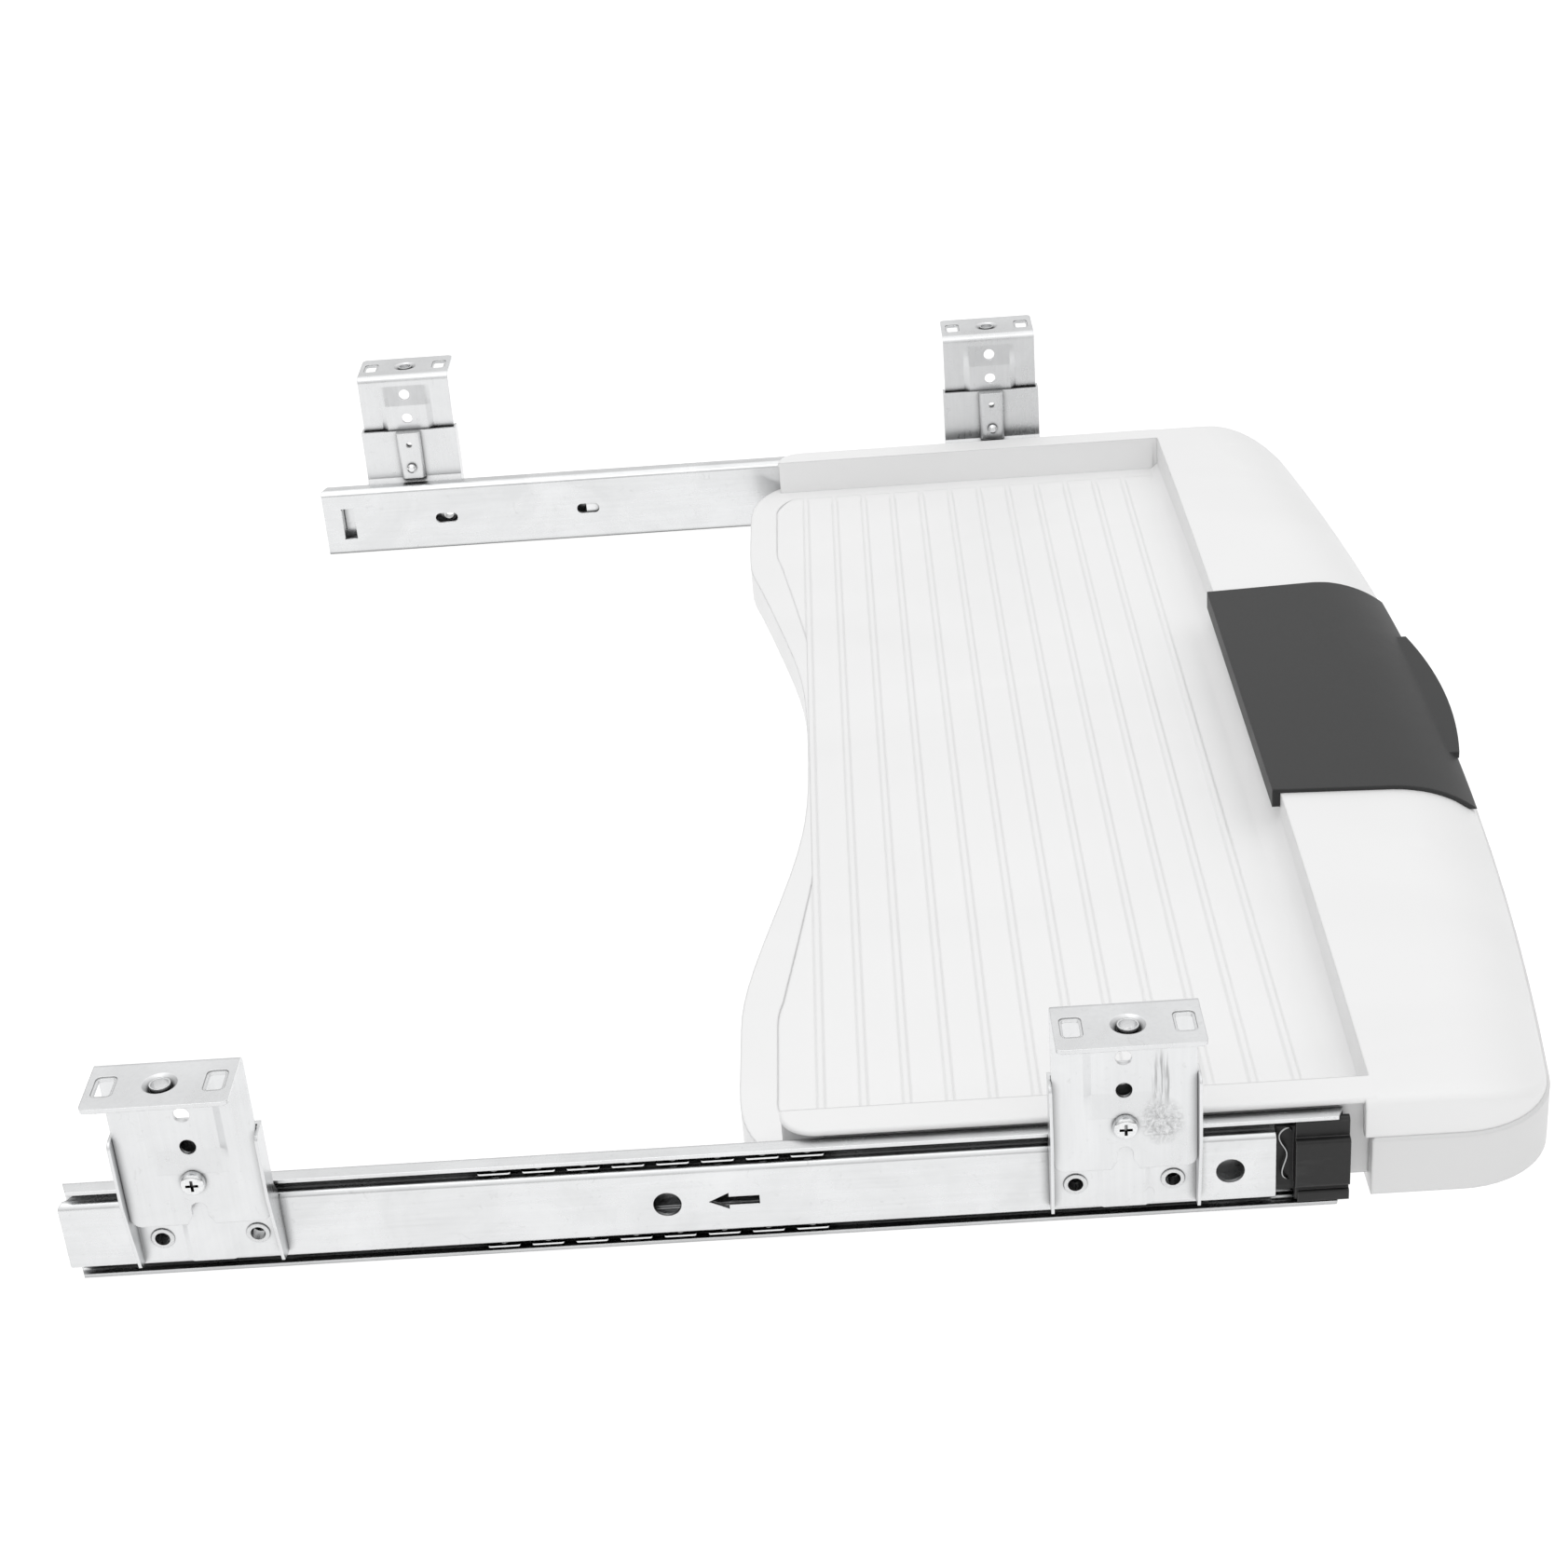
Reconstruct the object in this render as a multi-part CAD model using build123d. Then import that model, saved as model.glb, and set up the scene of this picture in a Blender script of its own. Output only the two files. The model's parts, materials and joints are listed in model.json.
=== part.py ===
from build123d import *
import os
from math import cos, radians, sin, sqrt

# Under-desk keyboard drawer. Millimetres, +Z up, the user sits at -Y.
# Everything is drawn in the slide's own frame (y = 0 at the middle of the outer slide channel,
# z = 0 at its lower edge) and moved once, at export, to the row frame, whose origin is the
# centre of the desk bolt pattern, in the plane that touches the underside of the desk.

os.makedirs("parts", exist_ok=True)

# ---- slide ----
SLIDE_LENGTH = 350.0
CHANNEL_HEIGHT = 27.7
CHANNEL_THICKNESS = 1.1
CHANNEL_MID_Y = 1.4
RACE_RISE = 1.1
RACE_DROP = 0.3
RACE_X = 248.2
CHANNEL_WEB_X = 245.9
CHANNEL_LIP_X = 252.4
BAR_FACE_X = 253.1
BAR_THICKNESS = 1.2
BAR_FLANGE_X = 248.2
BAR_BOTTOM_Z = 2.8
BAR_TOP_Z = 24.7
BAR_FRONT_Y = -154.8
BAR_REAR_Y = 177.3
SLIDE_MID_Z = CHANNEL_HEIGHT / 2

# ---- balls and cages ----
BALL_D = 3.0
BALL_X = 249.8
BALL_PITCH = 12.2
BALLS_PER_ROW = 8
BALL_ROWS_MID_Y = 14.5
BALL_ROW_Z = (BAR_TOP_Z + CHANNEL_HEIGHT + RACE_RISE - CHANNEL_THICKNESS) / 2
BALL_LOW_ROW_Z = (BAR_BOTTOM_Z - RACE_DROP + CHANNEL_THICKNESS) / 2
GROOVE_R = BALL_D / 2 + 0.2
CAGE_THICKNESS = 0.5
CAGE_WEB_X = CHANNEL_WEB_X + CHANNEL_THICKNESS + 0.2
CAGE_LENGTH = 97.0
CAGE_TAB_LENGTH = 9.4

# ---- hanging brackets ----
BRACKET_SPACING_Y = 250.0
BRACKET_MID_Y = 11.5
DESK_Z = 74.8
UPPER_FACE_X = 259.9
UPPER_WIDTH = 38.6
UPPER_THICKNESS = 1.2
UPPER_BOTTOM_Z = 21.3
FLANGE_REACH = 21.2
DESK_HOLE_D = 4.8
DESK_DISH_D = 9.4
DESK_DISH_DEPTH = 1.5
DESK_HOLE_X = UPPER_FACE_X + 10.8
PANEL_WIDTH = 19.6
PANEL_SLOPE = 2.4
PANEL_DEPTH = 1.5
PANEL_LOW_Z = 38.0
HEIGHT_HOLE_D = 4.5
HEIGHT_HOLE_PITCH = 10.3
SCREW_Z = 35.5
LOWER_WIDTH = 40.4
LOWER_THICKNESS = 1.5
LOWER_TOP_Z = 51.0
LOWER_BOTTOM_Z = 5.6
LOWER_PLATE_X = UPPER_FACE_X - UPPER_THICKNESS - PANEL_DEPTH - 0.1
LOWER_EDGE_X = 263.2
LOWER_FOOT_EDGE_X = 258.8
NUT_CHANNEL_WIDTH = 10.2
NUT_CHANNEL_DEPTH = 4.2
NUT_CHANNEL_LOW_Z = 30.5
RIVET_Z = 13.4
RIVET_OFFSET_Y = 13.2
RIVET_HOLE_D = 4.2
RIVET_SHANK_D = 5.4

# ---- tray ----
LIP_TOP_Z = 31.6
LIP_BOTTOM_Z = 29.9
LIP_OUTER_X = 248.6
RECESS_X = 238.0
LIP_REAR_Y = -21.0
LIP_CORNER_R = 10.0
RECESS_DRAFT = 0.6
DECK_WING_REAR_Y = -179.4
WALL = 2.4
RIM_Z = 18.1
FLOOR_THICKNESS = 2.6
PANEL_DROP = 0.6
PANEL_SIDE_X = 229.6
PANEL_RAMP = 7.0
TRAY_BOTTOM_Z = 5.0
RIB_COUNT = 12
RIB_FIRST_Y = -32.0
RIB_PITCH = 12.2
RIB_WIDTH = 3.2

# ---- front deck, skirt and grip cap ----
BOW_R = 1680.0
BOW_FRONT_Y = -249.3
DECK_SIDE_X = 249.9
DECK_CORNER_R = 28.0
DECK_REAR_Y = -181.2
DECK_SCOOP_END = 0.8
DECK_SCOOP = 2.8
COVE_R = 8.0
ROLL_R = 40.7
SEAM_Z = 19.3
SKIRT_PROUD = 0.7
SKIRT_BOTTOM_Z = 0.5
SKIRT_FLOOR = 3.0
CAP_HALF_WIDTH = 80.0
CAP_FLARE = 2.8
CAP_FLARE_END_Y = -227.0
CAP_LOW_Z = 22.7
CAP_THICKNESS = 1.5
CAP_WRAP_Z = 26.6
CAP_LIP_HALF = 45.0
CAP_LIP_PROUD = 3.7

# Openings of the slide members
TAB_REAR_Y = 168.8
TAB_WIDTH_Y = 5.5
TAB_HEIGHT = 14.0
SLOT_Y = (123.6, 62.2, -60.6, -122.0)
SLOT_LENGTH = 9.6
SLOT_WIDTH = 4.4
PEG_Y = -168.0
PEG_D = 4.0
BAR_HOLE_D = 7.8
BAR_HOLE_Z = 13.4
BAR_HOLE_Y = (10.9, -142.5)
ARROW_TAIL_Y = -14.4
ARROW_LENGTH = 14.0
ARROW_HEAD_LENGTH = 5.6
ARROW_HEAD_WIDTH = 5.4
ARROW_SHAFT_WIDTH = 2.8
EAR_Y = -136.6
EAR_HEIGHT = 3.6

# Stops and screws
STOP_REAR_Y = -160.3
STOP_FRONT_Y = -174.9
STOP_TONGUE_X = RACE_X + 1.2
CLIP_WIRE_D = 0.7
TAPPED_D = 3.9
PILOT_D = 2.6
SCREW_HEAD_D = 6.9
SCREW_D = 3.8
SELF_TAP_D = 3.4
TRAY_SCREW_Y = (-60.6, -122.0)
SKIRT_SCREWS = [(-205, -206), (-105, -222), (105, -222), (205, -206)]
CAP_PEGS = [(-55, -205), (55, -205)]
CAP_PEG_D = 5.0

# Rear edge of the tray
REAR_LOBE_Y = -8.8
REAR_WAIST_Y = -30.5
REAR_CORNER = 22.0


# ---------------------------------------------------------------- helpers
def place(shape):
    """From the slide's frame to the row frame."""
    return Pos(0, -BRACKET_MID_Y, -DESK_Z) * shape


def mirrored(shape):
    return mirror(shape, about=Plane.YZ)


def save(node, shape):
    shape.label = node
    export_step(place(shape), f"parts/{node}.step")


def save_pair(stem, right_shape):
    """A right-hand shape and its mirror image on the left."""
    save(f"{stem}_right", right_shape)
    save(f"{stem}_left", mirrored(right_shape))


def block(x0, x1, y0, y1, z0, z1):
    size = (abs(x1 - x0), abs(y1 - y0), abs(z1 - z0))
    middle = ((x0 + x1) / 2, (y0 + y1) / 2, (z0 + z1) / 2)
    return Pos(*middle) * Box(*size)


def rod_x(x0, x1, y, z, diameter):
    """A cylinder along X."""
    return Pos((x0 + x1) / 2, y, z) * Rot(0, 90, 0) * Cylinder(diameter / 2, abs(x1 - x0))


def rod_z(x, y, z0, z1, diameter):
    """A cylinder along Z."""
    return Pos(x, y, (z0 + z1) / 2) * Cylinder(diameter / 2, abs(z1 - z0))


def bent_strip(points, radius, thickness):
    """The section of a bent sheet: a centre line with rounded bends, given a thickness."""
    return trace(FilletPolyline(*points, radius=radius), line_width=thickness)


def along_y(section_xz, y0, y1):
    """A section drawn as (x, z) becomes a bar from y0 to y1."""
    return Pos(0, y1, 0) * extrude(Plane.XZ * section_xz, amount=y1 - y0)


def along_z(section_xy, z0, z1):
    return Pos(0, 0, z0) * extrude(section_xy, amount=z1 - z0)


def slot_along_y(x0, x1, y, z, length, width):
    """A round-ended slot through a sheet that faces X."""
    reach = (length - width) / 2
    middle = block(x0, x1, y - reach, y + reach, z - width / 2, z + width / 2)
    return middle + rod_x(x0, x1, y - reach, z, width) + rod_x(x0, x1, y + reach, z, width)


# ---------------------------------------------------------------- slide
def slide_channel():
    """The outer slide member: a C-shaped rail whose raised races face outwards."""
    half = CHANNEL_THICKNESS / 2
    web = CHANNEL_WEB_X + half
    top = CHANNEL_HEIGHT - half
    race_low = half - RACE_DROP
    race_high = top + RACE_RISE
    upper = [(web, top), (RACE_X, race_high), (CHANNEL_LIP_X, race_high)]
    lower = [(CHANNEL_LIP_X, race_low), (RACE_X, race_low), (web, half)]
    rear_y = CHANNEL_MID_Y + SLIDE_LENGTH / 2
    front_y = CHANNEL_MID_Y - SLIDE_LENGTH / 2
    rail = along_y(bent_strip(lower + upper, 1.1, CHANNEL_THICKNESS), front_y, rear_y)
    for row_z in (BALL_ROW_Z, BALL_LOW_ROW_Z):
        race = Pos(BALL_X, 0, row_z) * Rot(90, 0, 0) * Cylinder(GROOVE_R, SLIDE_LENGTH + 8)
        rail -= race
    rail -= channel_end_clip(rear_y, 1) + channel_end_clip(front_y, -1)
    rail -= channel_openings()
    return rail + channel_rear_tab()


def channel_end_clip(end_y, end):
    """The flanges narrow slightly at each end."""
    clip = 2.4
    tip = end_y + end * 0.1
    outer = CHANNEL_LIP_X + 1
    corners = [(outer, tip), (outer, tip - end * clip), (CHANNEL_WEB_X + CHANNEL_THICKNESS, tip)]
    wedge = make_face(Polyline(*corners, close=True))
    return along_z(wedge, -RACE_RISE - 1, CHANNEL_HEIGHT + RACE_RISE + 1)


def channel_openings():
    """The stop's window, the row of fixing slots and the hole for the front stop's peg."""
    x0 = CHANNEL_WEB_X - 1
    x1 = CHANNEL_WEB_X + CHANNEL_THICKNESS + 0.3
    low = SLIDE_MID_Z - TAB_HEIGHT / 2
    cut = block(x0, x1, TAB_REAR_Y - TAB_WIDTH_Y, TAB_REAR_Y, low, low + TAB_HEIGHT)
    for y in SLOT_Y:
        cut += slot_along_y(x0, x1, y, SLIDE_MID_Z, SLOT_LENGTH, SLOT_WIDTH)
    return cut + rod_x(x0, x1, PEG_Y, SLIDE_MID_Z, PEG_D)


def channel_rear_tab():
    """The tongue bent out of the window. It stops the ball cage, and with it the drawer."""
    low = SLIDE_MID_Z - TAB_HEIGHT / 2 + 0.5
    reach = CHANNEL_WEB_X + TAB_WIDTH_Y - 0.6
    tongue = block(CHANNEL_WEB_X + 0.1, reach, TAB_REAR_Y - 0.2, TAB_REAR_Y + 0.9, low, low + TAB_HEIGHT - 1)
    return tongue


def slide_bar():
    """The inner slide member: a narrower C rail, riveted to the brackets."""
    half = BAR_THICKNESS / 2
    face = BAR_FACE_X - half
    low = BAR_BOTTOM_Z + half
    high = BAR_TOP_Z - half
    line = [(BAR_FLANGE_X, low), (face, low), (face, high), (BAR_FLANGE_X, high)]
    bar = along_y(bent_strip(line, 1.5, BAR_THICKNESS), BAR_FRONT_Y, BAR_REAR_Y)
    for row_z in (BALL_ROW_Z, BALL_LOW_ROW_Z):
        bar -= Pos(BALL_X, 0, row_z) * Rot(90, 0, 0) * Cylinder(GROOVE_R, 2 * SLIDE_LENGTH)
    for y in BAR_HOLE_Y:
        bar -= rod_x(BAR_FACE_X - 3, BAR_FACE_X + 1, y, BAR_HOLE_Z, BAR_HOLE_D)
    for y in rivet_rows():
        bar -= rod_x(BAR_FACE_X - 3, BAR_FACE_X + 1, y, RIVET_Z, RIVET_SHANK_D)
    bar -= direction_arrow()
    bar -= bar_rear_clips()
    return bar + bar_front_ears()


def direction_arrow():
    """An arrow-shaped cutout that points to the rear."""
    neck = ARROW_TAIL_Y + ARROW_LENGTH - ARROW_HEAD_LENGTH
    shaft = ARROW_SHAFT_WIDTH / 2
    head = ARROW_HEAD_WIDTH / 2
    outline = [
        (ARROW_TAIL_Y, -shaft),
        (neck, -shaft),
        (neck, -head),
        (ARROW_TAIL_Y + ARROW_LENGTH, 0),
        (neck, head),
        (neck, shaft),
        (ARROW_TAIL_Y, shaft),
    ]
    face = Plane.YZ * make_face(Polyline(*outline, close=True))
    return Pos(BAR_FACE_X - 2, 0, BAR_HOLE_Z) * extrude(face, amount=4)


def bar_rear_clips():
    """At the rear end the face's corners are broken and the flanges taper."""
    clip = 0.9
    tip = BAR_REAR_Y + 0.1
    taper = [(BAR_FACE_X - BAR_THICKNESS, tip), (BAR_FLANGE_X - 1, tip), (BAR_FLANGE_X - 1, tip - 4.5)]
    cut = along_z(make_face(Polyline(*taper, close=True)), BAR_BOTTOM_Z - 1, BAR_TOP_Z + 1)
    for corner_z in (BAR_TOP_Z, BAR_BOTTOM_Z):
        edge = Pos(BAR_FACE_X - 2, BAR_REAR_Y, corner_z) * Rot(45, 0, 0)
        cut += edge * Box(12, clip * sqrt(2), clip * sqrt(2))
    return cut


def bar_front_ears():
    """Two lugs that stop the ball cage's front end at full extension."""
    x0 = CAGE_WEB_X + 0.1
    x1 = BAR_FACE_X - BAR_THICKNESS / 2
    low = BAR_BOTTOM_Z + BAR_THICKNESS / 2
    high = BAR_TOP_Z - BAR_THICKNESS / 2
    ears = block(x0, x1, EAR_Y, EAR_Y + 1.2, low, low + EAR_HEIGHT)
    return ears + block(x0, x1, EAR_Y, EAR_Y + 1.2, high - EAR_HEIGHT, high)


# ---------------------------------------------------------------- balls and cages
def ball_rows_y():
    first = BALL_ROWS_MID_Y - BALL_PITCH * (BALLS_PER_ROW - 1) / 2
    return [first + BALL_PITCH * i for i in range(BALLS_PER_ROW)]


def slide_balls():
    balls = []
    for row_z in (BALL_ROW_Z, BALL_LOW_ROW_Z):
        for y in ball_rows_y():
            balls.append(Pos(BALL_X, y, row_z) * Sphere(BALL_D / 2))
    return Compound(balls)


def ball_cage():
    """A pressed C strip. Each leg carries a row of tabs, and each tab holds one ball."""
    half = CAGE_THICKNESS / 2
    low = BALL_LOW_ROW_Z
    web = CAGE_WEB_X + half
    root_x = BAR_FLANGE_X + 0.3
    line = [(root_x, low), (web, low), (web, BALL_ROW_Z), (root_x, BALL_ROW_Z)]
    y0 = BALL_ROWS_MID_Y - CAGE_LENGTH / 2
    cage = along_y(bent_strip(line, 0.4, CAGE_THICKNESS), y0, y0 + CAGE_LENGTH)
    window = CAGE_LENGTH - 12
    cage -= block(web - 1, web + 0.6, y0 + 6, y0 + 6 + window, 8.0, CHANNEL_HEIGHT - 8.0)
    for row_z in (BALL_ROW_Z, low):
        for y in ball_rows_y():
            cage += cage_tab(root_x - 0.2, y, row_z)
            cage -= rod_z(BALL_X, y, row_z - 1, row_z + 1, BALL_D + 0.24)
            cage -= cage_tab_windows(y, row_z)
    return cage


def cage_tab(root_x, y, row_z):
    tip_x = CHANNEL_LIP_X - 0.3
    tab = Rectangle(tip_x - root_x, CAGE_TAB_LENGTH)
    tab = fillet(tab.vertices().group_by(Axis.X)[-1], 1.0)
    sheet = extrude(tab, amount=CAGE_THICKNESS)
    return Pos((root_x + tip_x) / 2, y, row_z - CAGE_THICKNESS / 2) * sheet


def cage_tab_windows(y, row_z):
    """The two windows beside a ball leave narrow fingers that hold it."""
    length = 2.1
    offset = BALL_D / 2 + 0.55 + length / 2
    x0 = BALL_X - 1.2
    x1 = BALL_X + 1.7
    cut = Part()
    for side in (-1, 1):
        middle = y + side * offset
        cut += block(x0, x1, middle - length / 2, middle + length / 2, row_z - 1, row_z + 1)
    return cut


# ---------------------------------------------------------------- end pieces


def front_stop():
    """The moulded stop plugged into the channel's front end, with a thin tongue towards the bar."""
    low = CHANNEL_THICKNESS - RACE_DROP + 0.15
    high = CHANNEL_HEIGHT + RACE_RISE - CHANNEL_THICKNESS - 0.15
    x0 = CHANNEL_WEB_X + CHANNEL_THICKNESS + 0.1
    race_x = RACE_X + 0.6
    core = block(race_x, CHANNEL_LIP_X - 0.8, STOP_REAR_Y, STOP_FRONT_Y, low, high)
    stop = chamfer(core.edges().filter_by(Axis.Y), 0.8)
    stop += block(x0, race_x + 1, STOP_REAR_Y, STOP_FRONT_Y, 2.2, CHANNEL_HEIGHT - 2.2)
    face = block(race_x, BAR_FACE_X + 0.6, STOP_REAR_Y + 0.2, STOP_FRONT_Y, 6.5, 21.9)
    stop += fillet(face.edges().filter_by(Axis.Y).group_by(Axis.X)[-1], 1.0)
    sill = block(race_x, CHANNEL_LIP_X + 0.2, STOP_REAR_Y - 0.6, STOP_FRONT_Y, low, low + 3.6)
    stop += fillet(sill.edges().filter_by(Axis.Y).group_by(Axis.X)[-1], 0.7)
    stop += block(x0, STOP_TONGUE_X, STOP_REAR_Y - 0.5, BAR_FRONT_Y - 0.6, 3.6, 24.4)
    peg = rod_x(CHANNEL_WEB_X + 0.1, x0 + 1, PEG_Y, SLIDE_MID_Z, PEG_D - 0.2)
    return stop + peg


def closing_clip():
    """A wire spring between the stop and the bar's front end. It holds the drawer shut."""
    x = STOP_TONGUE_X + CLIP_WIRE_D / 2 + 0.02
    y = STOP_REAR_Y
    points = [
        (x, y + 1.0, 23.6),
        (x + 1.1, y + 2.6, 24.9),
        (x + 1.5, y + 4.3, 23.6),
        (x + 1.3, y + 3.9, 20.4),
        (x + 0.9, y + 2.2, 16.5),
        (x + 1.2, y + 3.4, 11.5),
        (x, y + 1.6, 7.2),
    ]
    path = Spline(*points)
    section = Plane(origin=path @ 0, z_dir=path % 0) * Circle(CLIP_WIRE_D / 2)
    return sweep(section, path=path)


# ---------------------------------------------------------------- brackets
def bracket_rows():
    half = BRACKET_SPACING_Y / 2
    return {"rear": BRACKET_MID_Y + half, "front": BRACKET_MID_Y - half}


def rivet_rows():
    return [y + side * RIVET_OFFSET_Y for y in bracket_rows().values() for side in (-1, 1)]


def crease_section(depth):
    """The upright's section in plan: its middle panel steps back by depth, towards the tray."""
    half_width = UPPER_WIDTH / 2
    half_panel = PANEL_WIDTH / 2
    outer = UPPER_FACE_X
    profile = [
        (outer, -half_width),
        (outer, -half_panel - PANEL_SLOPE / 2),
        (outer - depth, -half_panel + PANEL_SLOPE / 2),
        (outer - depth, half_panel - PANEL_SLOPE / 2),
        (outer, half_panel + PANEL_SLOPE / 2),
        (outer, half_width),
    ]
    back = [(x - UPPER_THICKNESS, y) for x, y in reversed(profile)]
    return make_face(Polyline(*profile, *back, close=True))


def upper_bracket():
    """An L bracket: a flange under the desk and an upright with a column of height holes."""
    half = UPPER_THICKNESS / 2
    bend_r = 2.2
    top = DESK_Z - half
    spine = UPPER_FACE_X - half
    panel_top = DESK_Z - 6.0
    taper_top = PANEL_LOW_Z + 7.0
    line = [(UPPER_FACE_X + FLANGE_REACH, top), (spine, top), (spine, panel_top + 1.5)]
    bend = along_y(bent_strip(line, bend_r, UPPER_THICKNESS), -UPPER_WIDTH / 2, UPPER_WIDTH / 2)
    crease_faces = [
        Pos(0, 0, panel_top + 1.5) * crease_section(0.01),
        Pos(0, 0, panel_top - 7.0) * crease_section(PANEL_DEPTH),
        Pos(0, 0, taper_top) * crease_section(PANEL_DEPTH),
        Pos(0, 0, PANEL_LOW_Z) * crease_section(0.01),
    ]
    plate = bend
    for upper_face, lower_face in zip(crease_faces[:-1], crease_faces[1:]):
        plate += loft([upper_face, lower_face], ruled=True)
    x0 = UPPER_FACE_X - UPPER_THICKNESS
    foot = block(x0, UPPER_FACE_X, -UPPER_WIDTH / 2, UPPER_WIDTH / 2, UPPER_BOTTOM_Z, PANEL_LOW_Z)
    plate += fillet(foot.edges().filter_by(Axis.X).group_by(Axis.Z)[0], 3.2)
    plate = round_flange_corners(plate) + desk_hole_dish()
    return plate - upper_bracket_holes()


def round_flange_corners(plate):
    """Rounds the flange's two free corners."""
    radius = 1.8
    tip_x = UPPER_FACE_X + FLANGE_REACH
    for side in (-1, 1):
        corner = Pos(tip_x - radius, side * (UPPER_WIDTH / 2 - radius), DESK_Z - 2)
        square = Pos(radius / 2, side * radius / 2, 0) * Box(radius, radius, 8)
        plate -= corner * (square - Cylinder(radius, 10))
    return plate


def upper_bracket_holes():
    x0 = UPPER_FACE_X - UPPER_THICKNESS - 2
    x1 = UPPER_FACE_X + 1
    cut = Part()
    for step in range(4):
        cut += rod_x(x0, x1, 0, SCREW_Z + HEIGHT_HOLE_PITCH * step, HEIGHT_HOLE_D)
    cut += rod_x(x0, x1, 0, 26.2, 4.4)
    mouth = [(-3.9, UPPER_BOTTOM_Z - 0.1), (-2.2, 24.0), (-2.2, 26.2), (2.2, 26.2), (2.2, 24.0)]
    mouth.append((3.9, UPPER_BOTTOM_Z - 0.1))
    cut += Pos(x0, 0, 0) * extrude(Plane.YZ * make_face(Polyline(*mouth, close=True)), amount=x1 - x0)
    dish = Pos(DESK_HOLE_X, 0, DESK_Z - DESK_DISH_DEPTH / 2)
    dish *= Cone(DESK_HOLE_D / 2 + 0.5, DESK_DISH_D / 2, DESK_DISH_DEPTH)
    cut += dish - rod_z(DESK_HOLE_X, 0, DESK_Z - 4, DESK_Z + 1, DESK_HOLE_D + 0.9)
    cut += rod_z(DESK_HOLE_X, 0, DESK_Z - 4, DESK_Z + 1, DESK_HOLE_D)
    for side in (-1, 1):
        window = Pos(DESK_HOLE_X, side * 14.6, DESK_Z - 1) * Box(8.0, 4.4, 6)
        cut += fillet(window.edges().filter_by(Axis.Z), 1.0)
        rim = Pos(DESK_HOLE_X, side * 14.6, DESK_Z) * Box(9.4, 5.8, 0.6)
        cut += fillet(rim.edges().filter_by(Axis.Z), 1.6)
    return cut


def desk_hole_dish():
    """The sheet is pressed down in a dish round the desk hole, whose rim stands up in its middle."""
    height = UPPER_THICKNESS + DESK_DISH_DEPTH
    middle = Pos(DESK_HOLE_X, 0, DESK_Z - height / 2)
    return middle * Cone(DESK_HOLE_D / 2 + 0.9, DESK_DISH_D / 2 + 1.2, height)


def lower_side_profile():
    """The lower bracket seen from its side: a plate that steps in to meet the slide bar."""
    outer = LOWER_PLATE_X
    foot = BAR_FACE_X + LOWER_THICKNESS
    return [(outer, LOWER_TOP_Z), (outer, 30.0), (foot, 26.0), (foot, LOWER_BOTTOM_Z)]


def lower_bracket():
    """The riveted bracket: its folded side edges guide the upright, its channel takes the screw."""
    profile = lower_side_profile()
    back = [(x - LOWER_THICKNESS, z) for x, z in reversed(profile)]
    plate_face = make_face(Polyline(*profile, *back, close=True))
    half_width = LOWER_WIDTH / 2
    bracket = along_y(plate_face, -half_width, half_width)
    outline = profile + [(LOWER_FOOT_EDGE_X, LOWER_BOTTOM_Z + 1.2)]
    outline += [(LOWER_EDGE_X, 30.0), (LOWER_EDGE_X, LOWER_TOP_Z)]
    edge_face = make_face(Polyline(*outline, close=True))
    for side in (-1, 1):
        outer_y = side * half_width
        inner_y = outer_y - side * 0.85
        edge = along_y(edge_face, min(inner_y, outer_y), max(inner_y, outer_y))
        bracket += fillet(edge.edges().filter_by(Axis.Y).group_by(Axis.X)[-1], 2.0)
    bracket += foot_bead()
    bracket -= nut_channel_opening()
    bracket += nut_channel()
    return bracket - lower_bracket_holes()


def foot_bead():
    """A shallow stiffening bead down the middle of the foot."""
    x0 = BAR_FACE_X + 0.5
    face = BAR_FACE_X + LOWER_THICKNESS
    section = [(x0, -7.2), (face, -7.2), (face + 0.9, -5.6), (face + 0.9, 5.6), (face, 7.2), (x0, 7.2)]
    return along_z(make_face(Polyline(*section, close=True)), LOWER_BOTTOM_Z, 26.0)


def nut_channel_opening():
    half = NUT_CHANNEL_WIDTH / 2 - LOWER_THICKNESS / 2
    return block(LOWER_PLATE_X - 3, LOWER_PLATE_X + 1, -half, half, NUT_CHANNEL_LOW_Z, LOWER_TOP_Z + 1)


def nut_channel():
    """The pressed channel behind the plate, with the tapped back that the screw bites in."""
    half = NUT_CHANNEL_WIDTH / 2 - LOWER_THICKNESS / 2
    front = LOWER_PLATE_X - LOWER_THICKNESS / 2
    back = front - NUT_CHANNEL_DEPTH + LOWER_THICKNESS / 2
    line = [(front, -half), (back, -half), (back, half), (front, half)]
    channel = along_z(bent_strip(line, 1.2, LOWER_THICKNESS), NUT_CHANNEL_LOW_Z, LOWER_TOP_Z)
    cap_x = LOWER_PLATE_X - 0.1
    return channel + block(back, cap_x, -half, half, LOWER_TOP_Z - 1.2, LOWER_TOP_Z)


def lower_bracket_holes():
    x0 = LOWER_PLATE_X - NUT_CHANNEL_DEPTH - 3
    cut = rod_x(x0, LOWER_PLATE_X + 1, 0, SCREW_Z, TAPPED_D)
    cut += rod_x(x0, LOWER_PLATE_X + 1, 0, SCREW_Z + HEIGHT_HOLE_PITCH, PILOT_D)
    for side in (-1, 1):
        cut += rod_x(BAR_FACE_X - 1, BAR_FACE_X + 3, side * RIVET_OFFSET_Y, RIVET_Z, RIVET_SHANK_D)
    return cut


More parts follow.
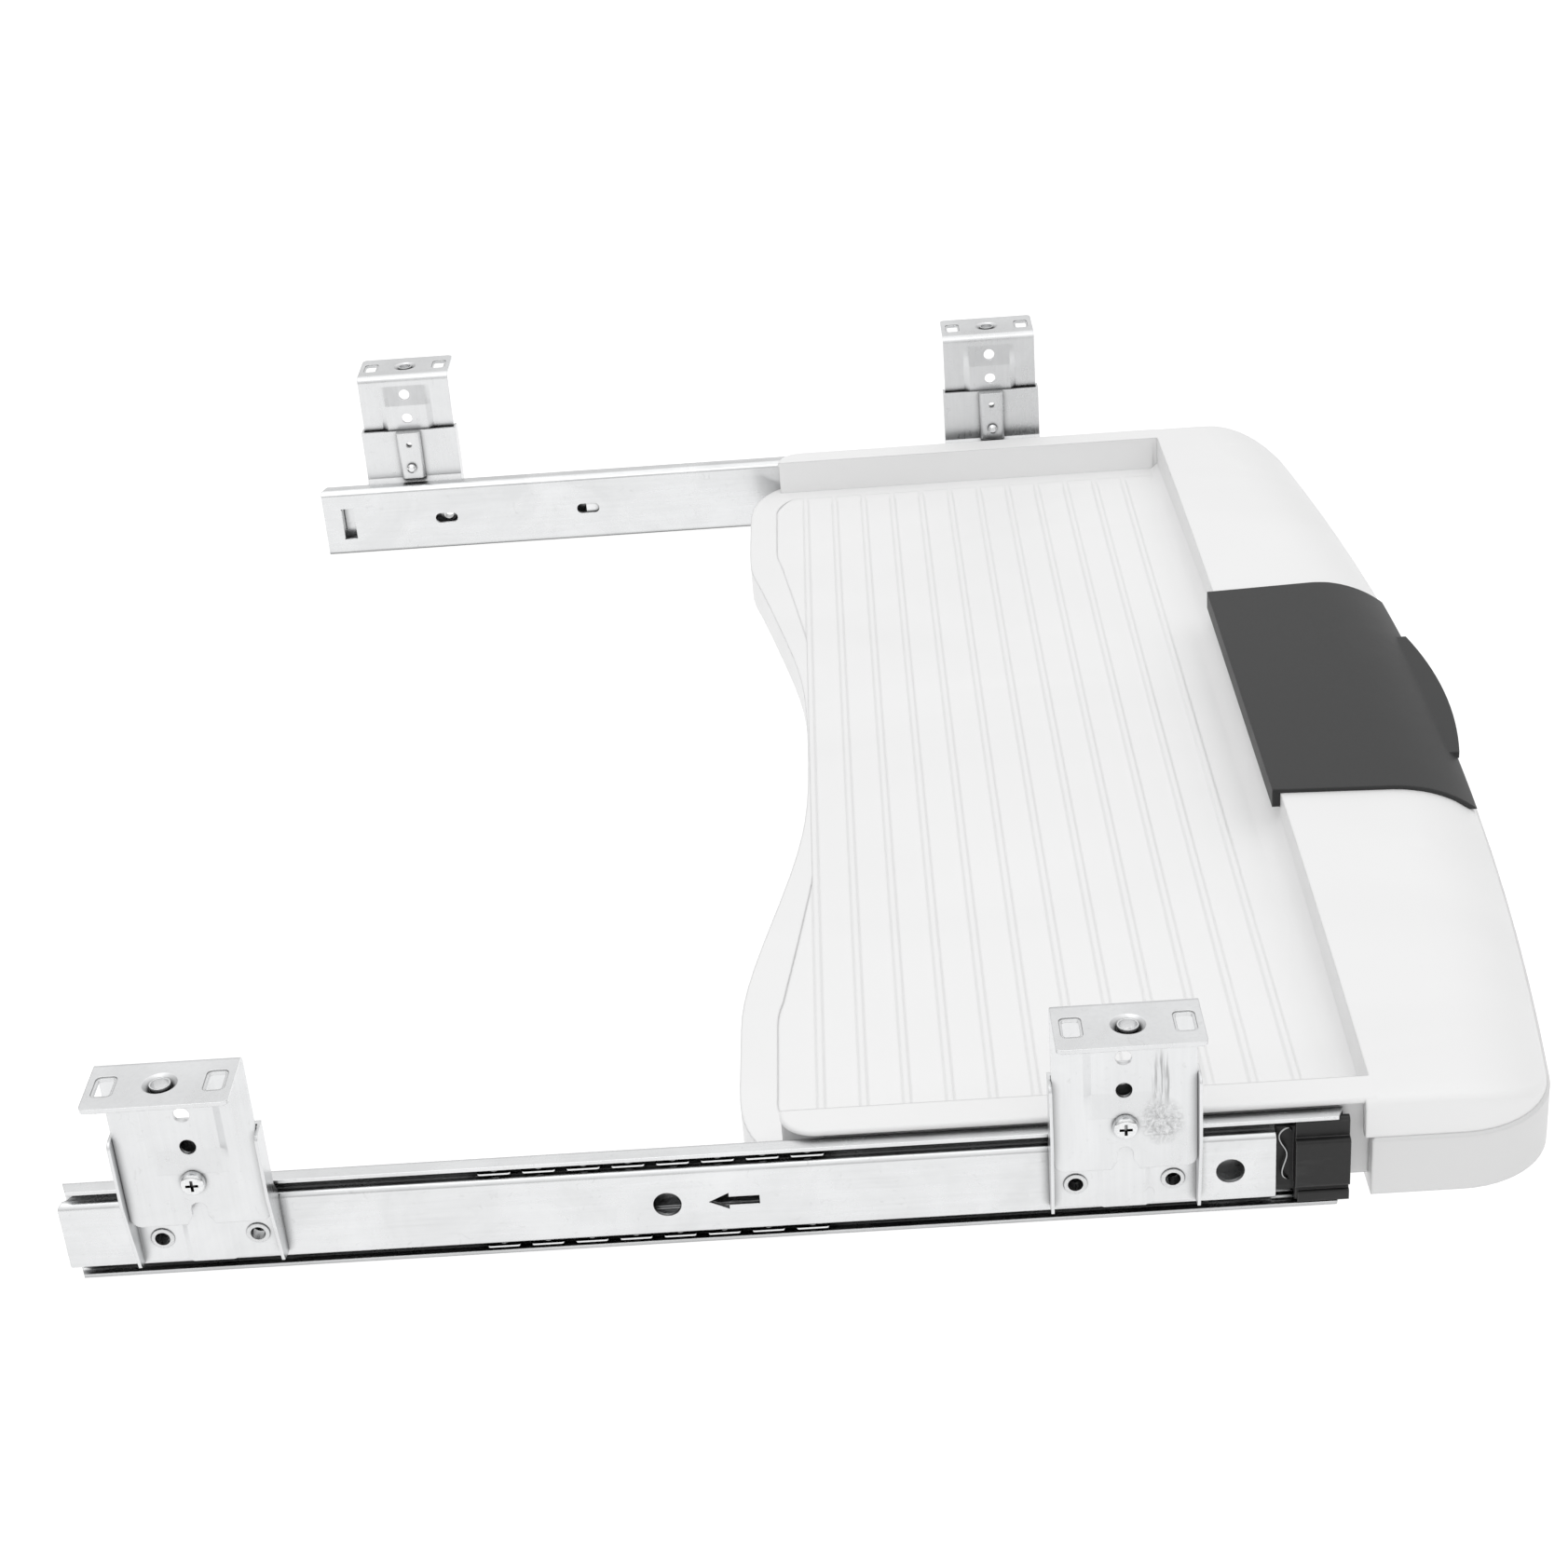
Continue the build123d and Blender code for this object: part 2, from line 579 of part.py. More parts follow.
def bracket_screw():
    """A pan-head cross-recess screw, drawn with its head facing outwards."""
    seat = UPPER_FACE_X + 0.02
    head = rod_x(seat, seat + 2.3, 0, SCREW_Z, SCREW_HEAD_D)
    head = fillet(head.edges().group_by(Axis.X)[-1], 1.2)
    tip = LOWER_PLATE_X - NUT_CHANNEL_DEPTH - 3.2
    shank = chamfer(rod_x(tip, seat, 0, SCREW_Z, SCREW_D).edges().group_by(Axis.X)[0], 0.8)
    recess = block(seat + 1.0, seat + 3, -1.75, 1.75, SCREW_Z - 0.42, SCREW_Z + 0.42)
    recess += block(seat + 1.0, seat + 3, -0.42, 0.42, SCREW_Z - 1.75, SCREW_Z + 1.75)
    return head + shank - recess


def eyelet_rivet():
    """A tubular rivet: a flared head outside, a rolled tail inside the bar."""
    face = BAR_FACE_X + LOWER_THICKNESS
    inside = BAR_FACE_X - BAR_THICKNESS
    head = rod_x(face + 0.01, face + 0.5, 0, RIVET_Z, 6.6)
    head = fillet(head.edges().group_by(Axis.X)[-1], 0.4)
    body = rod_x(inside - 0.7, face + 0.1, 0, RIVET_Z, RIVET_SHANK_D - 0.04)
    tail = rod_x(inside - 0.7, inside - 0.02, 0, RIVET_Z, 6.6)
    return head + body + tail - rod_x(inside - 3, face + 3, 0, RIVET_Z, RIVET_HOLE_D)


# ---------------------------------------------------------------- plan outlines
def roll_centre():
    """Centre (y, z) of the round that carries the deck down to the seam, at the middle of the bow."""
    drop = SEAM_Z + 1.0
    z = LIP_TOP_Z - ROLL_R
    y = BOW_FRONT_Y + sqrt(ROLL_R**2 - (drop - z) ** 2)
    return y, z


def front_plan(side_x, front_y, corner_r, rear_y):
    """The deck's plan: straight sides, round corners and a slightly bowed front edge."""
    centre_y = front_y + BOW_R
    corner_x = side_x - corner_r
    reach = BOW_R - corner_r
    corner_y = centre_y - sqrt(reach**2 - corner_x**2)
    scale = BOW_R / reach
    touch_x = corner_x * scale
    touch_y = centre_y + (corner_y - centre_y) * scale
    blend = radians(45)
    mid_x = corner_x + corner_r * cos(blend)
    mid_y = corner_y - corner_r * sin(blend)
    edges = [
        Line((side_x, rear_y), (side_x, corner_y)),
        ThreePointArc((side_x, corner_y), (mid_x, mid_y), (touch_x, touch_y)),
        ThreePointArc((touch_x, touch_y), (0, front_y), (-touch_x, touch_y)),
        ThreePointArc((-touch_x, touch_y), (-mid_x, mid_y), (-side_x, corner_y)),
        Line((-side_x, corner_y), (-side_x, rear_y)),
        Line((-side_x, rear_y), (side_x, rear_y)),
    ]
    return make_face(edges)


def rear_edge(inset, side_x):
    """The tray's waved rear edge, from +x to -x, moved forwards by inset."""
    lobe = REAR_LOBE_Y - inset
    waist = REAR_WAIST_Y - inset
    half = [
        (0, waist),
        (55, waist + 1.9),
        (97, waist + 8.7),
        (146, lobe - 3.0),
        (176, lobe),
    ]
    left_half = [(-x, y) for x, y in half[:0:-1]]
    wave = Spline(*left_half, *half, tangents=[(1, 0), (1, 0)])
    shoulder = 206 - inset / 2
    corner = (side_x, lobe - REAR_CORNER)
    bulge = (side_x - 10.5, lobe - 6.2)
    right_corner = Spline((shoulder, lobe), bulge, corner, tangents=[(1, 0), (0.1, -1)])
    left_corner = mirror(right_corner, about=Plane.YZ)
    return [
        wave,
        Line((176, lobe), (shoulder, lobe)),
        Line((-176, lobe), (-shoulder, lobe)),
        right_corner,
        left_corner,
    ]


def body_plan(inset, side_x, front_y):
    """The tray body's plan behind the deck."""
    corner_y = REAR_LOBE_Y - inset - REAR_CORNER
    edges = rear_edge(inset, side_x)
    edges.append(Line((side_x, corner_y), (side_x, front_y)))
    edges.append(Line((-side_x, corner_y), (-side_x, front_y)))
    edges.append(Line((-side_x, front_y), (side_x, front_y)))
    return make_face(edges)


# ---------------------------------------------------------------- tray
def deck_section(offset, low_z, rear_y):
    """The deck's section in (y, z), thinned by offset on its upper side."""
    roll_y, roll_z = roll_centre()
    radius = ROLL_R - offset
    end_y = roll_y - sqrt(radius**2 - (low_z - roll_z) ** 2)
    mid = radians(70)
    edges = [
        Line((rear_y, low_z), (rear_y, roll_z + radius)),
        Line((rear_y, roll_z + radius), (roll_y, roll_z + radius)),
        ThreePointArc(
            (roll_y, roll_z + radius),
            (roll_y - radius * cos(mid), roll_z + radius * sin(mid)),
            (end_y, low_z),
        ),
        Line((end_y, low_z), (rear_y, low_z)),
    ]
    return Plane.YZ * make_face(edges)


def bowed(section, half_angle=13):
    """Sweeps a (y, z) section along the bow, about the bow's vertical axis."""
    axis = Axis((0, BOW_FRONT_Y + BOW_R, 0), (0, 0, 1))
    centred = section.rotate(axis, -half_angle)
    return revolve(centred, axis, 2 * half_angle)


def deck_shell():
    outer_plan = front_plan(DECK_SIDE_X, BOW_FRONT_Y, DECK_CORNER_R, DECK_REAR_Y)
    inner_plan = front_plan(DECK_SIDE_X - WALL, BOW_FRONT_Y + WALL, DECK_CORNER_R - WALL, DECK_REAR_Y - WALL)
    outer = bowed(deck_section(0, SEAM_Z, -150)) & along_z(outer_plan, SEAM_Z, LIP_TOP_Z + 1)
    outer = fillet(deck_side_edges(outer), 3.0)
    inner = bowed(deck_section(WALL, SEAM_Z - 1, -150)) & along_z(inner_plan, SEAM_Z - 1, LIP_TOP_Z + 1)
    return outer - inner


def deck_side_edges(deck):
    """The upper edges along the deck's two straight sides."""
    edges = deck.edges().filter_by(Axis.Y)
    return edges.filter_by_position(Axis.Z, LIP_TOP_Z - 0.5, LIP_TOP_Z + 0.5)


def body_shell():
    """Floor, rear wall and outer side walls behind the deck."""
    side_x = CHANNEL_WEB_X - 0.02
    outer = along_z(body_plan(0, side_x, DECK_REAR_Y), TRAY_BOTTOM_Z, RIM_Z)
    inner = along_z(
        body_plan(WALL, side_x - WALL, DECK_REAR_Y + WALL),
        TRAY_BOTTOM_Z - 1,
        RIM_Z - FLOOR_THICKNESS,
    )
    return outer - inner


def recess_walls():
    """The recess's drafted side walls, with the lips that cover the slides."""
    walls = Part()
    for side in (-1, 1):
        web = side * (CHANNEL_WEB_X - 0.02)
        walls += drafted_wall(side)
        rear_y = LIP_REAR_Y - 12
        walls += block(web - side * WALL, web, DECK_REAR_Y, rear_y, TRAY_BOTTOM_Z + 8, LIP_TOP_Z - 0.5)
        lip = block(side * RECESS_X, side * LIP_OUTER_X, DECK_REAR_Y - 1, LIP_REAR_Y, LIP_BOTTOM_Z, LIP_TOP_Z)
        corners = lip.edges().filter_by(Axis.Z).group_by(Axis.Y)[-1].sort_by(Axis.X)
        lip = fillet(corners[-1 if side > 0 else 0], LIP_CORNER_R)
        rims = lip.edges().group_by(Axis.Z)[-1]
        outer = rims.filter_by(Axis.Y).sort_by(Axis.X)[-1 if side > 0 else 0]
        walls += fillet(outer, 0.9)
    return walls


def drafted_wall(side):
    """One side wall of the recess, thicker at its foot."""
    foot = RECESS_X - RECESS_DRAFT
    back = RECESS_X + WALL
    top = LIP_TOP_Z - 0.6
    section = [(foot, RIM_Z - 1), (foot, RIM_Z), (RECESS_X, top), (back, top), (back, RIM_Z - 1)]
    face = make_face(Polyline(*[(side * x, z) for x, z in section], close=True))
    return along_y(face, DECK_REAR_Y, LIP_REAR_Y - 0.4)


def deck_wings():
    """The deck's ends beside the slides reach a little further back than the recess's front wall."""
    wings = Part()
    for side in (-1, 1):
        x0 = side * (CHANNEL_WEB_X + 0.6)
        x1 = side * DECK_SIDE_X
        wing = block(x0, x1, DECK_REAR_Y - 2, DECK_WING_REAR_Y, SEAM_Z, LIP_TOP_Z)
        top = wing.edges().filter_by(Axis.Y).group_by(Axis.Z)[-1].sort_by(Axis.X)
        wings += fillet(top[-1 if side > 0 else 0], 3.0)
    return wings


def front_wall():
    """The recess's front wall, and the cheeks that close the deck beside the slides."""
    wall = block(
        -CHANNEL_WEB_X + 0.1,
        CHANNEL_WEB_X - 0.1,
        DECK_REAR_Y - WALL - DECK_SCOOP,
        DECK_REAR_Y,
        RIM_Z - FLOOR_THICKNESS,
        LIP_TOP_Z - 1,
    )
    cheeks = block(
        -DECK_SIDE_X + 1, DECK_SIDE_X - 1, DECK_REAR_Y - WALL, DECK_REAR_Y, SEAM_Z, LIP_TOP_Z - 2
    )
    return wall + cheeks


def deck_scoop():
    """The deck's rear edge is hollowed slightly, most at its middle."""
    ends = DECK_REAR_Y - DECK_SCOOP_END
    arc = ThreePointArc((-RECESS_X, ends), (0, DECK_REAR_Y - DECK_SCOOP), (RECESS_X, ends))
    rear = DECK_REAR_Y + 1
    back = Polyline((RECESS_X, ends), (RECESS_X, rear), (-RECESS_X, rear), (-RECESS_X, ends))
    return along_z(make_face([arc, back]), RIM_Z - PANEL_DROP, LIP_TOP_Z + 1)


def front_cove():
    """The floor curves up into the recess's front wall."""
    floor = RIM_Z - PANEL_DROP
    wall = DECK_REAR_Y - DECK_SCOOP
    top = floor + COVE_R
    foot = wall + COVE_R
    blend = COVE_R * (1 - sqrt(0.5))
    arc = ThreePointArc((foot, floor), (wall + blend, floor + blend), (wall, top))
    back = Polyline((wall, top), (wall - 1, top), (wall - 1, floor - 0.2), (foot, floor - 0.2), (foot, floor))
    reach = RECESS_X + 0.5
    section = Plane.YZ * make_face([arc, back])
    return Pos(-reach, 0, 0) * extrude(section, amount=2 * reach)


def panel_plan():
    """The lowered, ribbed part of the floor. Its rear edge follows the tray's waved edge."""
    lobe = REAR_LOBE_Y - 10.9
    turn = (174, lobe)
    end = (PANEL_SIDE_X, lobe - 6.8)
    front_y = DECK_REAR_Y - DECK_SCOOP_END
    right = [
        Spline((88, -31.0), (104, -29.3), (123, -26.8), (162, lobe - 1.7), tangents=[(1, 0.05), (1, 0.14)]),
        ThreePointArc((162, lobe - 1.7), (168, lobe - 0.5), turn),
        Line(turn, (212, lobe)),
        ThreePointArc((212, lobe), (223, lobe - 1.9), end),
        Line(end, (PANEL_SIDE_X, front_y)),
    ]
    left = [mirror(edge, about=Plane.YZ) for edge in right]
    ends = [Line((-88, -31.0), (88, -31.0)), Line((-PANEL_SIDE_X, front_y), (PANEL_SIDE_X, front_y))]
    return make_face(right + left + ends)


def panel_cut():
    """The panel is let into the floor, and rises to the rim along its two sides."""
    low = RIM_Z - PANEL_DROP
    flat = PANEL_SIDE_X - PANEL_RAMP
    high = RIM_Z + 1
    half = [(flat, low), (PANEL_SIDE_X, RIM_Z - 0.05), (PANEL_SIDE_X, high)]
    section = make_face(Polyline(*half, *[(-x, z) for x, z in reversed(half)], close=True))
    return along_y(section, DECK_REAR_Y - WALL, 0) & along_z(panel_plan(), low - 1, high)


def rib(y):
    """One low rib across the panel, with sloped flanks."""
    half = RIB_WIDTH / 2
    low = RIM_Z - PANEL_DROP - 0.2
    flank = 0.8
    section = [(y - half, low), (y - half + flank, RIM_Z), (y + half - flank, RIM_Z), (y + half, low)]
    face = Plane.YZ * make_face(Polyline(*section, close=True))
    return Pos(-PANEL_SIDE_X - 0.5, 0, 0) * extrude(face, amount=2 * PANEL_SIDE_X + 1)


def rib_rows():
    return [RIB_FIRST_Y - RIB_PITCH * i for i in range(RIB_COUNT)]


def screw_bosses():
    """Posts under the deck for the skirt's screws, and pads behind the side walls for the slides'."""
    bosses = Part()
    for x, y in SKIRT_SCREWS:
        bosses += rod_z(x, y, SKIRT_FLOOR + 0.6, LIP_TOP_Z - 1.5, 8.0)
    for side in (-1, 1):
        for y in TRAY_SCREW_Y:
            web = CHANNEL_WEB_X - 0.5
            bosses += rod_x(side * web, side * (web - 7), y, SLIDE_MID_Z, 8.0)
    return bosses & along_z(Rectangle(600, 600), SKIRT_FLOOR, LIP_TOP_Z - 1)


def screw_pilots():
    pilots = Part()
    for x, y in SKIRT_SCREWS:
        pilots += rod_z(x, y, 0, 20, SELF_TAP_D + 0.06)
    for side in (-1, 1):
        for y in TRAY_SCREW_Y:
            x0 = side * (CHANNEL_WEB_X + 1)
            x1 = side * (CHANNEL_WEB_X - 7.2)
            pilots += rod_x(x0, x1, y, SLIDE_MID_Z, SELF_TAP_D + 0.06)
    return pilots


def cap_seat():
    """The step in the recess's front wall that the grip cap's rear flap fills."""
    half = CAP_HALF_WIDTH - CAP_FLARE + 0.1
    wall = DECK_REAR_Y - DECK_SCOOP
    return block(-half, half, wall - 0.6, DECK_REAR_Y + 1, CAP_WRAP_Z - 0.1, LIP_TOP_Z + 1)


def tray():
    shell = deck_shell() + body_shell() + recess_walls() + front_wall() + deck_wings() + screw_bosses()
    ribs = Part()
    for y in rib_rows():
        ribs += rib(y)
    shell -= panel_cut() - ribs
    shell -= deck_scoop()
    shell += front_cove()
    shell -= screw_pilots() + cap_seat()
    for x, y in CAP_PEGS:
        shell -= rod_z(x, y, 20, LIP_TOP_Z + 1, CAP_PEG_D + 0.2)
    return shell


# ---------------------------------------------------------------- front skirt and grip cap
def front_skirt():
    """The pan that closes the deck from below and makes the lower half of the front."""
    side_x = DECK_SIDE_X + SKIRT_PROUD
    front_y = BOW_FRONT_Y - SKIRT_PROUD - 0.2
    outline = front_plan(side_x, front_y, DECK_CORNER_R + SKIRT_PROUD, DECK_REAR_Y)
    outer = along_z(outline, SKIRT_BOTTOM_Z, SEAM_Z - 0.05)
    outer = chamfer(outer.edges().group_by(Axis.Z)[-1], 0.8)
    outer = chamfer(outer.edges().group_by(Axis.Z)[0], 0.5)
    hollow = front_plan(side_x - WALL, front_y + WALL, DECK_CORNER_R + SKIRT_PROUD - WALL, DECK_REAR_Y - WALL)
    skirt = outer - along_z(hollow, SKIRT_FLOOR, SEAM_Z + 1)
    x = CHANNEL_WEB_X
    skirt -= block(-x, x, DECK_REAR_Y - WALL - 0.1, DECK_REAR_Y + 1, TRAY_BOTTOM_Z - 0.1, SEAM_Z + 1)
    for x, y in SKIRT_SCREWS:
        skirt -= rod_z(x, y, -1, SKIRT_FLOOR + 1, SELF_TAP_D + 0.4)
        skirt -= rod_z(x, y, -1, SKIRT_BOTTOM_Z + 1.6, 7.0)
    return skirt


def cap_plan():
    """The cap's plan: it widens a little towards the front."""
    rear = CAP_HALF_WIDTH - CAP_FLARE
    half = [(rear, DECK_REAR_Y), (CAP_HALF_WIDTH, CAP_FLARE_END_Y), (CAP_HALF_WIDTH, BOW_FRONT_Y - 9)]
    return make_face(Polyline(*half, *[(-x, y) for x, y in reversed(half)], close=True))


def grip_cap():
    """The soft cap over the middle of the deck: it wraps both edges and has a small pull lip."""
    skin = deck_section(-CAP_THICKNESS, CAP_LOW_Z, -150)
    core = deck_section(-0.05, CAP_LOW_Z - 1, -140)
    cap = bowed(skin) - bowed(core)
    cap &= along_z(cap_plan(), 0, LIP_TOP_Z + 5)
    half = CAP_HALF_WIDTH - CAP_FLARE
    wall = DECK_REAR_Y - DECK_SCOOP
    flap = block(-half, half, wall - 0.55, DECK_REAR_Y, CAP_WRAP_Z, LIP_TOP_Z + 0.5)
    cap += flap + pull_lip()
    for x, y in CAP_PEGS:
        cap += rod_z(x, y, 27.0, LIP_TOP_Z + 0.5, CAP_PEG_D)
    return cap


def pull_lip():
    """A thin crescent in plan that stands proud of the front edge."""
    edge_y = BOW_FRONT_Y + CAP_LIP_HALF**2 / (2 * BOW_R)
    crown_y = BOW_FRONT_Y - CAP_LIP_PROUD
    front = ThreePointArc((-CAP_LIP_HALF, edge_y), (0, crown_y), (CAP_LIP_HALF, edge_y))
    back_y = edge_y + 4.0
    corners = [
        (CAP_LIP_HALF, edge_y),
        (CAP_LIP_HALF, back_y),
        (-CAP_LIP_HALF, back_y),
        (-CAP_LIP_HALF, edge_y),
    ]
    back = Polyline(*corners)
    crescent = along_z(make_face([front, back]), CAP_LOW_Z, CAP_LOW_Z + 2.4)
    clear = bowed(deck_section(-0.05, CAP_LOW_Z - 1, -140))
    return crescent - clear


def tray_screws():
    """Low-headed screws through the channels' slots into the tray's side walls."""
    screws = []
    seat = CHANNEL_WEB_X + CHANNEL_THICKNESS + 0.02
    for side in (-1, 1):
        for y in TRAY_SCREW_Y:
            head = rod_x(side * seat, side * (seat + 1.6), y, SLIDE_MID_Z, 7.6)
            head = chamfer(head.edges().group_by(Axis.X)[-1 if side > 0 else 0], 0.6)
            head -= rod_x(side * (seat + 0.8), side * (seat + 2), y, SLIDE_MID_Z, 2.4)
            screws.append(head + rod_x(side * seat, side * (seat - 8), y, SLIDE_MID_Z, SELF_TAP_D))
    return Compound(screws)


def skirt_screws():
    """Self-tapping screws that hold the skirt under the deck."""
    screws = []
    seat = SKIRT_BOTTOM_Z + 1.58
    for x, y in SKIRT_SCREWS:
        head = chamfer(rod_z(x, y, seat - 1.4, seat, 6.4).edges().group_by(Axis.Z)[0], 0.4)
        head -= rod_z(x, y, seat - 2, seat - 0.6, 2.2)
        screws.append(head + rod_z(x, y, seat, seat + 14, SELF_TAP_D))
    return Compound(screws)


# ---------------------------------------------------------------- assembly
def save_brackets():
    upper = upper_bracket()
    lower = lower_bracket()
    for row, y in bracket_rows().items():
        save_pair(f"upper_bracket_{row}", Pos(0, y, 0) * upper)
        save_pair(f"lower_bracket_{row}", Pos(0, y, 0) * lower)
    screws = [Pos(0, y, 0) * bracket_screw() for y in bracket_rows().values()]
    rivets = [Pos(0, y, 0) * eyelet_rivet() for y in rivet_rows()]
    save("bracket_screws", Compound(screws + [mirrored(s) for s in screws]))
    save("bracket_rivets", Compound(rivets + [mirrored(r) for r in rivets]))


def main():
    save_brackets()
    save_pair("slide_bar", slide_bar())
    save_pair("slide_channel", slide_channel())
    save_pair("ball_cage", ball_cage())
    save_pair("slide_balls", slide_balls())
    save_pair("front_stop", front_stop())
    save_pair("closing_clip", closing_clip())
    save("tray", tray())
    save("front_skirt", front_skirt())
    save("grip_cap", grip_cap())
    save("tray_screws", tray_screws())
    save("skirt_screws", skirt_screws())


main()
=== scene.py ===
import json
import math

import bpy
from mathutils import Matrix, Quaternion, Vector


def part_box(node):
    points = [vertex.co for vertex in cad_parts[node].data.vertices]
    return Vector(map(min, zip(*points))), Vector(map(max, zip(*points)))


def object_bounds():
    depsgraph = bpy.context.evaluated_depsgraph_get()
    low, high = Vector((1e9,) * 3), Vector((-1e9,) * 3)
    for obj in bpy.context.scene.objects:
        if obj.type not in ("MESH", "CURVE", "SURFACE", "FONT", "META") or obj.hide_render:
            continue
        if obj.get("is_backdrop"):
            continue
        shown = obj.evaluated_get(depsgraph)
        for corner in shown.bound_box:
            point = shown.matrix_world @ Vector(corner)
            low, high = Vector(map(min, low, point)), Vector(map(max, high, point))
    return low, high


# Looks for the under-desk drawer: one material for each slot, a studio and the camera.
# The CAD nodes keep their shapes, and the only mesh added is the floor.
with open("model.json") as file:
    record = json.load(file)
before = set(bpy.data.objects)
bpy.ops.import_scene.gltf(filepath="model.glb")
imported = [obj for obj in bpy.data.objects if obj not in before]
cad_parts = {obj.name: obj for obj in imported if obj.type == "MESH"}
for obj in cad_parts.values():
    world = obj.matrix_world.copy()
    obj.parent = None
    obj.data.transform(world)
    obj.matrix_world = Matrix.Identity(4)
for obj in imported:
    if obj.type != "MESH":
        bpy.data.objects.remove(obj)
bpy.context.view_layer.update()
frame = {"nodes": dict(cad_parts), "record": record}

CAMERA_AT = Vector((-0.8672, -0.0635, 0.39695))
CAMERA_TARGET = Vector((-0.0181, -0.0333, -0.06))
CAMERA_ROLL = math.radians(-4.643)
CAMERA_LENS = 63.85
SKY_RANGE = (0.22, 1.22)
SKY_NEAR_SIDE = 0.3
SKY_FAR_SIDE = 0.25
OVERHEAD_POWER = 2.0
OVERHEAD_SIZE = (1.2, 0.9)
OVERHEAD_AT = (-0.3, 0.3, 1.4)
OVERHEAD_TARGET = (0, -0.05, -0.05)
FLOOR_GAP = 0.0006
FLOOR_REACH = 6.0
FLOOR_GLOW = 0.98
SCUFFED_BRACKET = "upper_bracket_front_left"
SCUFF_FROM_CORNER = (0.0212, 0.0095, 0.015)
SCUFF_REACH = (0.004, 0.0068, 0.0082)
STEEL_TONE_SPAN = (0.34, 0.66)
NOISE_SPAN = (0.3, 0.7)
GRAIN_SPAN = (0.6, 1.4)
STEEL_SHADE_PAINT_DEPTH = 0.004
SMALL_SHADE_PAINT_DEPTH = 0.0025
MIX_COLOUR_A = 6
MIX_COLOUR_B = 7
MIX_COLOUR_RESULT = 2


# ---------------------------------------------------------------- node helpers
class Shader:
    """A principled material with short ways to add the textures that drive it."""

    def __init__(self, name, **values):
        self.material = bpy.data.materials.new(name)
        self.material.use_nodes = True
        self.tree = self.material.node_tree
        self.bsdf = self.tree.nodes["Principled BSDF"]
        self.coords = self.tree.nodes.new("ShaderNodeTexCoord").outputs["Object"]
        for socket, value in values.items():
            self.bsdf.inputs[socket.replace("_", " ")].default_value = value

    def node(self, kind, **settings):
        node = self.tree.nodes.new("ShaderNode" + kind)
        for key, value in settings.items():
            setattr(node, key, value)
        return node

    def link(self, source, socket):
        self.tree.links.new(source, socket)

    def stretched(self, scale):
        mapping = self.node("Mapping")
        mapping.inputs["Scale"].default_value = scale
        self.link(self.coords, mapping.inputs["Vector"])
        return mapping.outputs["Vector"]

    def noise(self, scale, detail, roughness, stretch=(1, 1, 1), distortion=0.0):
        noise = self.node("TexNoise")
        noise.inputs["Scale"].default_value = scale
        noise.inputs["Detail"].default_value = detail
        noise.inputs["Roughness"].default_value = roughness
        noise.inputs["Distortion"].default_value = distortion
        self.link(self.stretched(stretch), noise.inputs["Vector"])
        return noise.outputs["Fac"]

    def ranged(self, value, low, high, to_low=0.0, to_high=1.0):
        ramp = self.node("MapRange")
        for socket, number in zip(("From Min", "From Max", "To Min", "To Max"), (low, high, to_low, to_high)):
            ramp.inputs[socket].default_value = number
        self.link(value, ramp.inputs["Value"])
        return ramp.outputs["Result"]

    def math(self, operation, a, b):
        node = self.node("Math", operation=operation)
        for socket, value in zip(node.inputs, (a, b)):
            if isinstance(value, (int, float)):
                socket.default_value = value
            else:
                self.link(value, socket)
        return node.outputs["Value"]

    def mixed(self, factor, a, b):
        """Colour a where factor is 0, colour b where it is 1."""
        mix = self.node("Mix", data_type="RGBA")
        self.link(factor, mix.inputs["Factor"])
        for socket, value in zip((mix.inputs[MIX_COLOUR_A], mix.inputs[MIX_COLOUR_B]), (a, b)):
            if isinstance(value, tuple):
                socket.default_value = value
            else:
                self.link(value, socket)
        return mix.outputs[MIX_COLOUR_RESULT]

    def edges(self, radius, low=0.02, high=0.35):
        """1 along the sharp edges of the mesh, 0 on its faces."""
        bevel = self.node("Bevel", samples=4)
        bevel.inputs["Radius"].default_value = radius
        geometry = self.node("NewGeometry")
        dot = self.node("VectorMath", operation="DOT_PRODUCT")
        self.link(bevel.outputs["Normal"], dot.inputs[0])
        self.link(geometry.outputs["Normal"], dot.inputs[1])
        return self.ranged(dot.outputs["Value"], 1 - low, 1 - high)

    def painted_shade_mask(self, distance, low=0.25, high=0.85):
        """0 deep in gaps and folds, where the materials paint shade, 1 on open faces."""
        shade = self.node("AmbientOcclusion", samples=8)
        shade.inputs["Distance"].default_value = distance
        return self.ranged(shade.outputs["AO"], low, high)

    def near_point(self, point, reach):
        """1 at a point of the room, 0 beyond reach, which is given for each axis."""
        offset = self.node("VectorMath", operation="SUBTRACT")
        self.link(self.node("NewGeometry").outputs["Position"], offset.inputs[0])
        offset.inputs[1].default_value = point
        scaled = self.node("VectorMath", operation="DIVIDE")
        self.link(offset.outputs["Vector"], scaled.inputs[0])
        scaled.inputs[1].default_value = reach
        length = self.node("VectorMath", operation="LENGTH")
        self.link(scaled.outputs["Vector"], length.inputs[0])
        return self.ranged(length.outputs["Value"], 1.0, 0.55)

    def soft_normal(self, radius):
        bevel = self.node("Bevel", samples=6)
        bevel.inputs["Radius"].default_value = radius
        return bevel.outputs["Normal"]

    def bump(self, height, distance, strength, normal=None):
        bump = self.node("Bump")
        bump.inputs["Strength"].default_value = strength
        bump.inputs["Distance"].default_value = distance
        self.link(height, bump.inputs["Height"])
        if normal is not None:
            self.link(normal, bump.inputs["Normal"])
        return bump.outputs["Normal"]

    def use(self, **sockets):
        for socket, source in sockets.items():
            self.link(source, self.bsdf.inputs[socket.replace("_", " ")])
        return self.material


